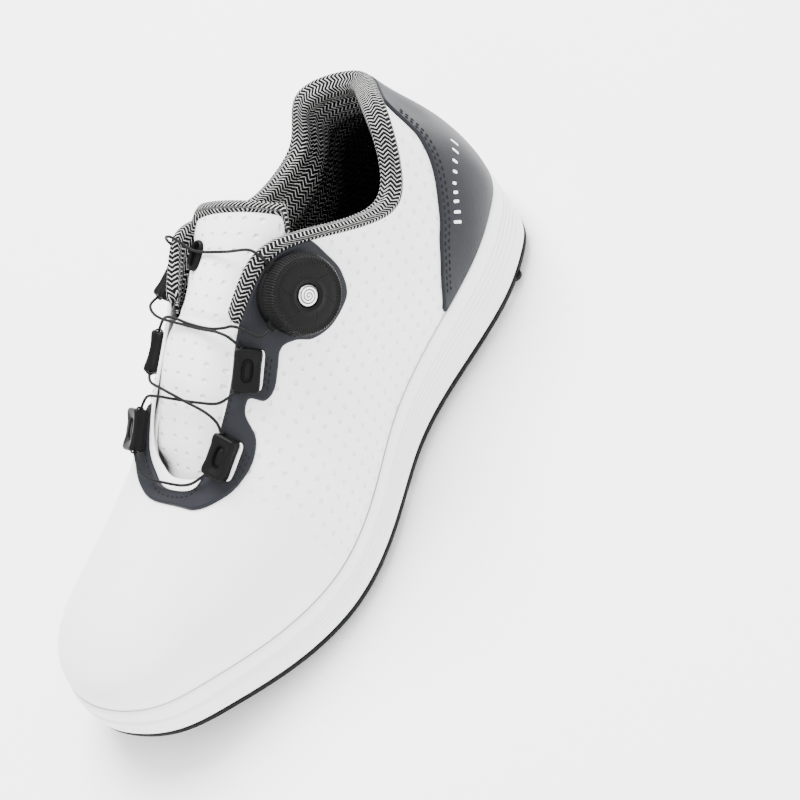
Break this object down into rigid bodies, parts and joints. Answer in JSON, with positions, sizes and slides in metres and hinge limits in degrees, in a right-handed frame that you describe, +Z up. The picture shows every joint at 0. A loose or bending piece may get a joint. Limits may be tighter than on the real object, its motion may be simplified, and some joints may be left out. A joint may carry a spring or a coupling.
{
  "type": "golf shoe",
  "caption": "Left low-cut spiked golf shoe: padded knit-bound collar, reel-and-dial lacing over a separate tongue, foam midsole and a lugged rubber outsole with plastic cleats.",
  "frame": {"origin": "centre of the bounding box on the ground plane, under the shoe", "axes": "+X from heel to toe, +Y towards the lateral (outer) side of this left shoe, +Z up from the ground"},
  "size_m": [0.2964, 0.1108, 0.1322],
  "materials": {
    "upper_white": "satin white synthetic leather with fine grain",
    "overlay_grey": "matt slate-grey synthetic leather",
    "midsole_foam": "matt white foam",
    "sole_rubber": "fine textured black rubber",
    "cleat_white": "satin white plastic",
    "knit": "black and white herringbone knit",
    "lining": "black mesh fabric",
    "padding": "open-cell foam",
    "board": "non-woven board",
    "stiffener": "thermoplastic sheet",
    "black_plastic": "satin black nylon",
    "steel": "brushed steel",
    "cord": "black coated cord"
  },
  "bodies": {
    "shoe": {"outsole": "sole_rubber", "sole_rib": "cleat_white", "arch_window": "cleat_white", "midsole": "midsole_foam", "shank_plate": "steel", "strobel_board": "board", "insole": "lining", "upper_shell": "upper_white", "toe_puff": "stiffener", "heel_counter": "stiffener", "vamp_lining": "padding", "collar_lining": "lining", "collar_foam": "padding", "collar_binding": "knit", "heel_overlay": "overlay_grey", "eyestay_overlay": "overlay_grey", "dial_base": "black_plastic", "dial_axle": "steel", "lace": "cord", "cleat_forefoot_medial": "cleat_white", "cleat_forefoot_lateral": "cleat_white", "cleat_midfoot_medial": "cleat_white", "cleat_midfoot_lateral": "cleat_white", "cleat_heel_lateral": "cleat_white", "cleat_heel_medial": "cleat_white", "guide_lateral_upper": "black_plastic", "guide_lateral_lower": "black_plastic", "guide_medial_upper": "black_plastic", "guide_medial_middle": "black_plastic", "guide_medial_lower": "black_plastic"},
    "ratchet": {"dial_ratchet": "black_plastic"},
    "knob": {"dial_knob": "black_plastic", "dial_cap": "steel", "dial_spring": "steel"},
    "spool": {"dial_spool": "black_plastic"},
    "tongue": {"tongue_face": "upper_white", "tongue_foam": "padding", "tongue_lining": "lining", "tongue_binding": "knit", "tongue_lace_keeper": "black_plastic"}
  },
  "joints": [
    {"name": "dial_turn", "type": "hinge", "parent": "shoe", "child": "ratchet", "pos_m": [-0.01791, 0.03067, 0.1084], "axis": [0.1302, 0.9312, 0.3404], "continuous": true},
    {"name": "dial_pull", "type": "slide", "parent": "ratchet", "child": "knob", "axis": [0.1302, 0.9312, 0.3404], "range_m": [0, 0.0025]},
    {"name": "spool_turn", "type": "hinge", "parent": "shoe", "child": "spool", "pos_m": [-0.01791, 0.03067, 0.1084], "axis": [0.1302, 0.9312, 0.3404], "continuous": true},
    {"name": "tongue_tilt", "type": "hinge", "parent": "shoe", "child": "tongue", "pos_m": [0.06249, -0.00223, 0.063], "axis": [0, -1, 0], "range_deg": [0, 4], "stiffness_Nm_per_rad": 1.5}
  ],
  "couplings": [
    {"joint": "spool_turn", "follows": "dial_turn", "ratio": 1}
  ]
}
